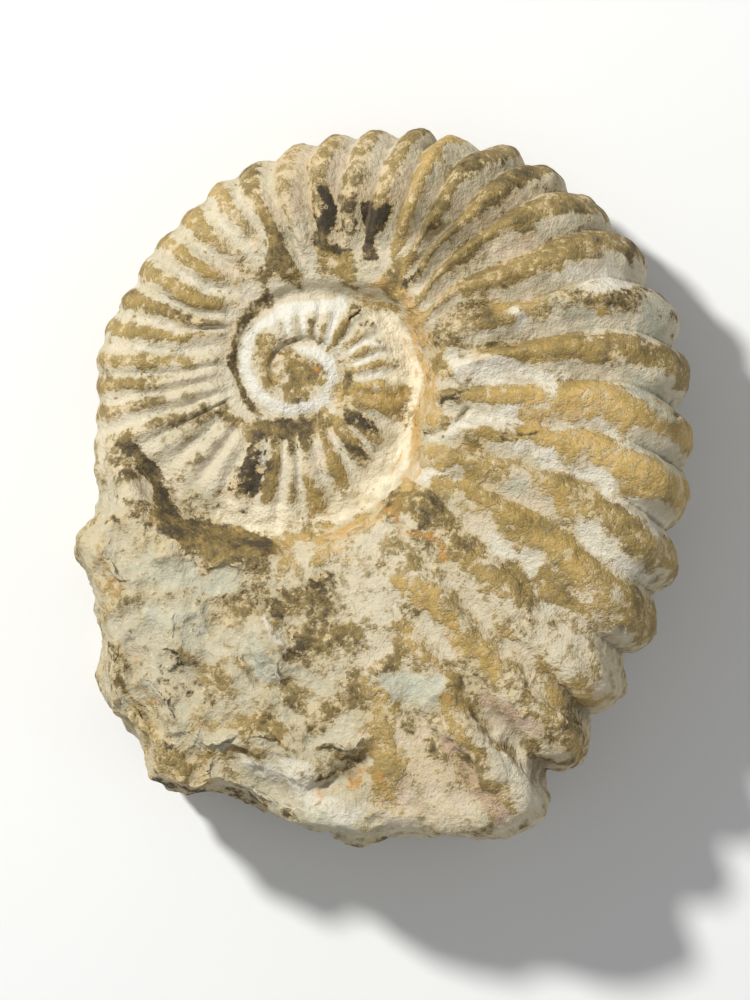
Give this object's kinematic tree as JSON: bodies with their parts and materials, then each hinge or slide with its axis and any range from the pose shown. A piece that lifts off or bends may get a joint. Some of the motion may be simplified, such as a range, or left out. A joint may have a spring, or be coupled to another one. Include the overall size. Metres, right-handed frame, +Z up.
{
  "type": "ammonite fossil",
  "caption": "Coiled, ribbed ammonite fossil in pale limestone with a rough stone-filled living chamber, one solid piece lying on its flank.",
  "frame": {"origin": "under the middle of the fossil's bounding box, on the surface that it lies on", "axes": "+Z up through the coil's upper flank, +Y along the fossil's length towards the older part of the outer whorl, +X to the right as seen from above"},
  "size_m": [0.1302, 0.1526, 0.0529],
  "materials": {
    "fossil_stone": "dry, matte limestone: ochre and brown on the ribs, pale grey in the grooves"
  },
  "bodies": {
    "root": {"ammonite": "fossil_stone"}
  },
  "joints": []
}
